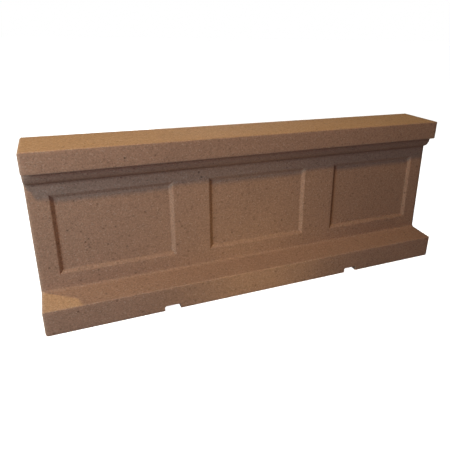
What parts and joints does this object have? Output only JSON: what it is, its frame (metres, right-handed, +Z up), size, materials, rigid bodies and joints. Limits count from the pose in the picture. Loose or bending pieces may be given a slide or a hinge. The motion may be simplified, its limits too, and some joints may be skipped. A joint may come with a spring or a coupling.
{
  "type": "concrete jersey barrier",
  "caption": "Straight precast concrete traffic barrier: a panelled wall on a wide base under a deep moulded cap, with slots under the base.",
  "frame": {"origin": "centre of the underside, on the surface that the barrier stands on", "axes": "+X along the barrier, +Y across it towards the back face, +Z up"},
  "size_m": [2.4384, 0.5206, 0.9144],
  "materials": {
    "concrete": "sandblasted, fine speckle with small pits",
    "reinforcing_steel": "dark mill scale with light rust",
    "spacer_plastic": "matte moulded"
  },
  "bodies": {
    "root": {"concrete_casting": "concrete", "wall_hoop_1": "reinforcing_steel", "wall_hoop_2": "reinforcing_steel", "wall_hoop_3": "reinforcing_steel", "wall_hoop_4": "reinforcing_steel", "wall_hoop_5": "reinforcing_steel", "wall_hoop_6": "reinforcing_steel", "wall_hoop_7": "reinforcing_steel", "wall_hoop_8": "reinforcing_steel", "base_tie_1": "reinforcing_steel", "base_tie_2": "reinforcing_steel", "base_tie_3": "reinforcing_steel", "base_tie_4": "reinforcing_steel", "base_tie_5": "reinforcing_steel", "base_tie_6": "reinforcing_steel", "base_tie_7": "reinforcing_steel", "base_tie_8": "reinforcing_steel", "cap_tie_1": "reinforcing_steel", "cap_tie_2": "reinforcing_steel", "cap_tie_3": "reinforcing_steel", "cap_tie_4": "reinforcing_steel", "cap_tie_5": "reinforcing_steel", "cap_tie_6": "reinforcing_steel", "cap_tie_7": "reinforcing_steel", "cap_tie_8": "reinforcing_steel", "base_bar_1": "reinforcing_steel", "base_bar_2": "reinforcing_steel", "base_bar_3": "reinforcing_steel", "base_bar_4": "reinforcing_steel", "wall_bar_1": "reinforcing_steel", "wall_bar_2": "reinforcing_steel", "wall_bar_3": "reinforcing_steel", "wall_bar_4": "reinforcing_steel", "cap_bar_1": "reinforcing_steel", "cap_bar_2": "reinforcing_steel", "bar_chair_front_1": "spacer_plastic", "bar_chair_back_1": "spacer_plastic", "bar_chair_front_3": "spacer_plastic", "bar_chair_back_3": "spacer_plastic", "bar_chair_front_6": "spacer_plastic", "bar_chair_back_6": "spacer_plastic", "bar_chair_front_8": "spacer_plastic", "bar_chair_back_8": "spacer_plastic"}
  },
  "joints": []
}
